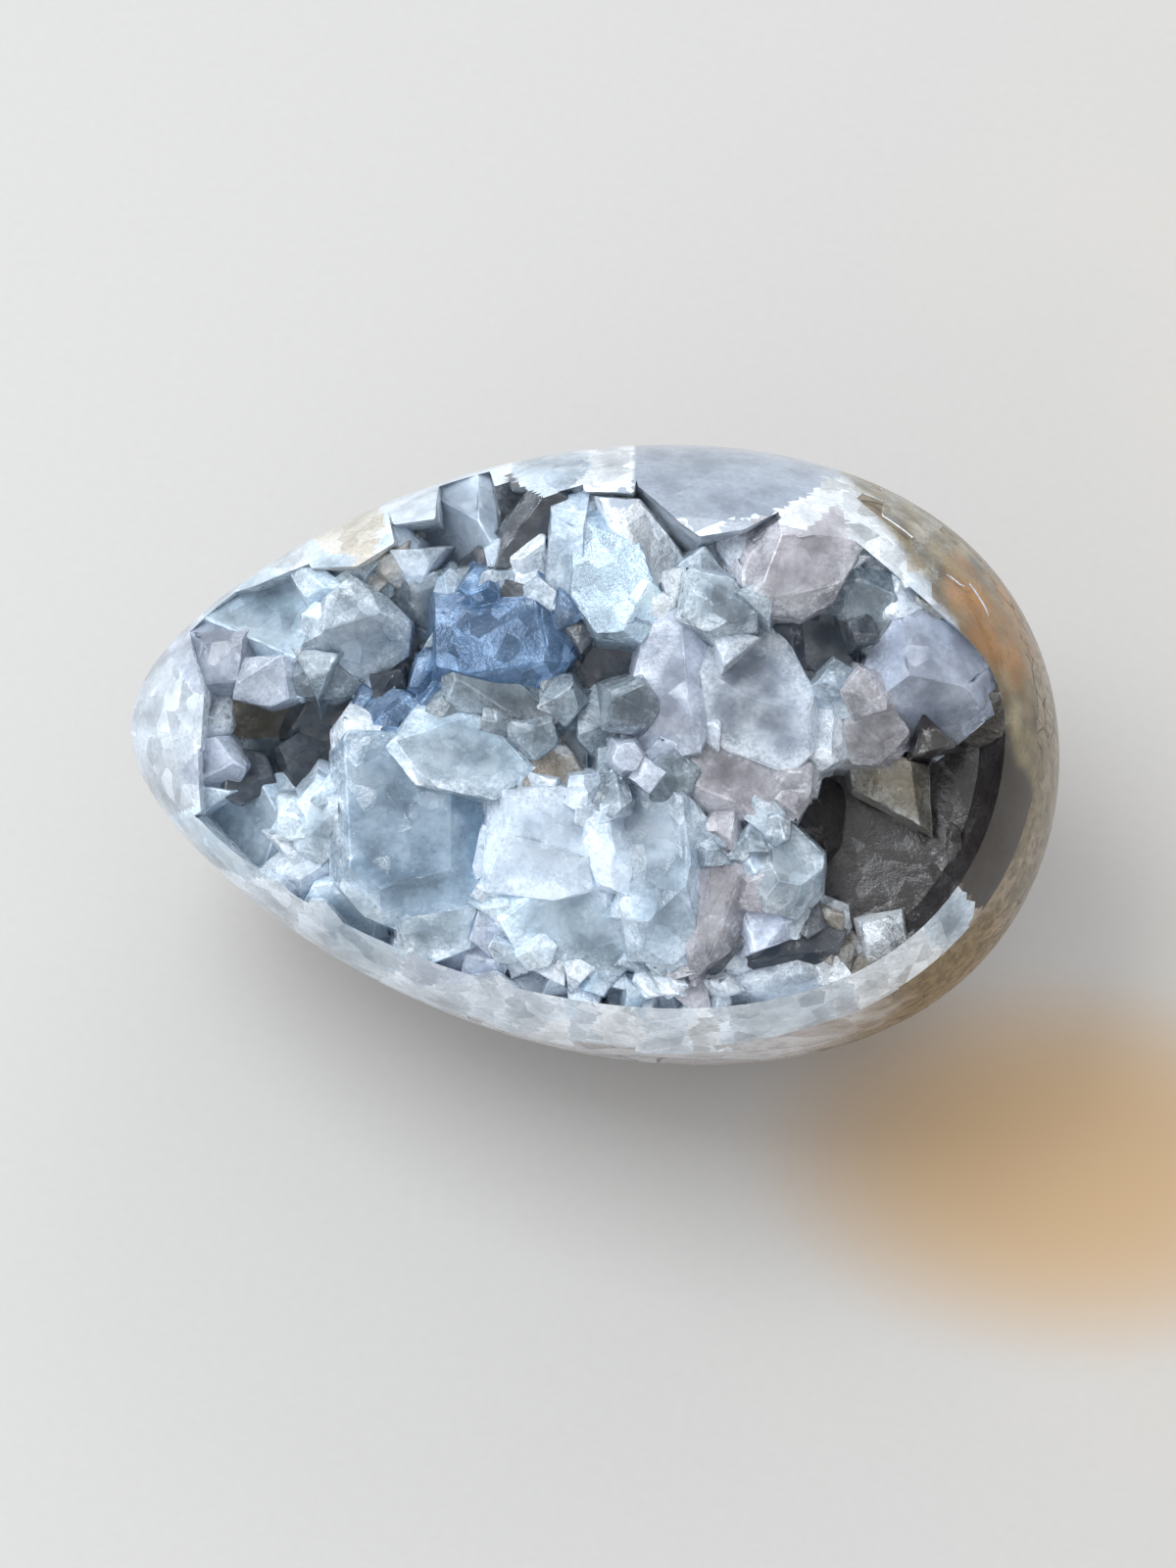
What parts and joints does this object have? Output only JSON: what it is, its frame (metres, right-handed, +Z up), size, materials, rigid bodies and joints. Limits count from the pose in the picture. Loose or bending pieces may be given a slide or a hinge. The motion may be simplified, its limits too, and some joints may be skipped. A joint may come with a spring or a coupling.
{
  "type": "celestite geode egg",
  "caption": "Polished celestite geode egg lying on its side, its upper side open onto a hollow filled by pale blue crystals.",
  "frame": {"origin": "centre of the bottom of the bounding box, on the surface that the egg rests on", "axes": "+X along the egg's long axis towards its blunt end, +Y away from the viewer, +Z up"},
  "size_m": [0.09, 0.0598, 0.0585],
  "materials": {
    "polished_matrix": "polished grey-white celestite with olive-brown matrix and orange iron stain",
    "celestite_crystal": "translucent pale blue to grey, glossy flat faces"
  },
  "bodies": {
    "root": {"egg_shell": "polished_matrix", "crystal_crust": "celestite_crystal"}
  },
  "joints": []
}
